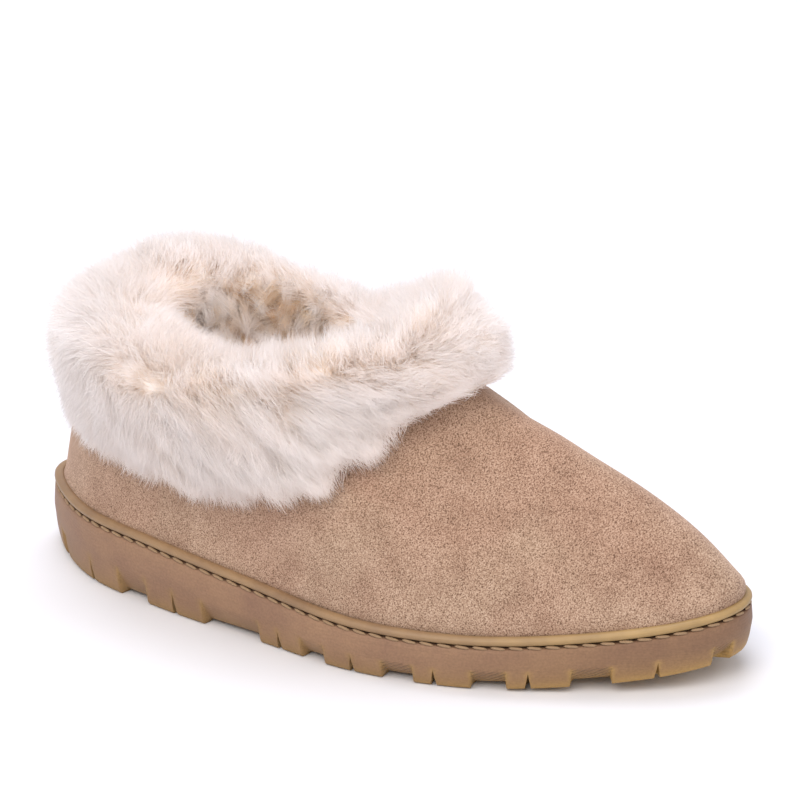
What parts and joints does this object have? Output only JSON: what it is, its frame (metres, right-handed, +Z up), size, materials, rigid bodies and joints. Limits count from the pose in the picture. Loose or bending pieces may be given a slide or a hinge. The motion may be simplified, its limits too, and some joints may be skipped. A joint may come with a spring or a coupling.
{
  "type": "slipper",
  "caption": "Ankle-low slip-on slipper with a suede upper, a deep fur cuff folded over its collar, a foam insole, a stitched welt and a rubber lug sole.",
  "frame": {"origin": "centre of the overall box, on the floor that the sole stands on", "axes": "+X towards the toe, -Y the shoe's outer side (it is a right shoe), +Z up"},
  "size_m": [0.2648, 0.1068, 0.1185],
  "materials": {
    "gum_rubber": "satin moulded gum rubber, pinkish brown",
    "welt_rubber": "satin moulded rubber, tan",
    "suede": "brushed faux suede with a mottled nap",
    "insole_fleece": "matted cream fleece over foam",
    "fur": "deep cream faux fur with tan roots"
  },
  "bodies": {
    "root": {"outsole": "gum_rubber", "welt": "welt_rubber", "upper": "suede", "insole": "insole_fleece", "fur_cuff": "fur"}
  },
  "joints": []
}
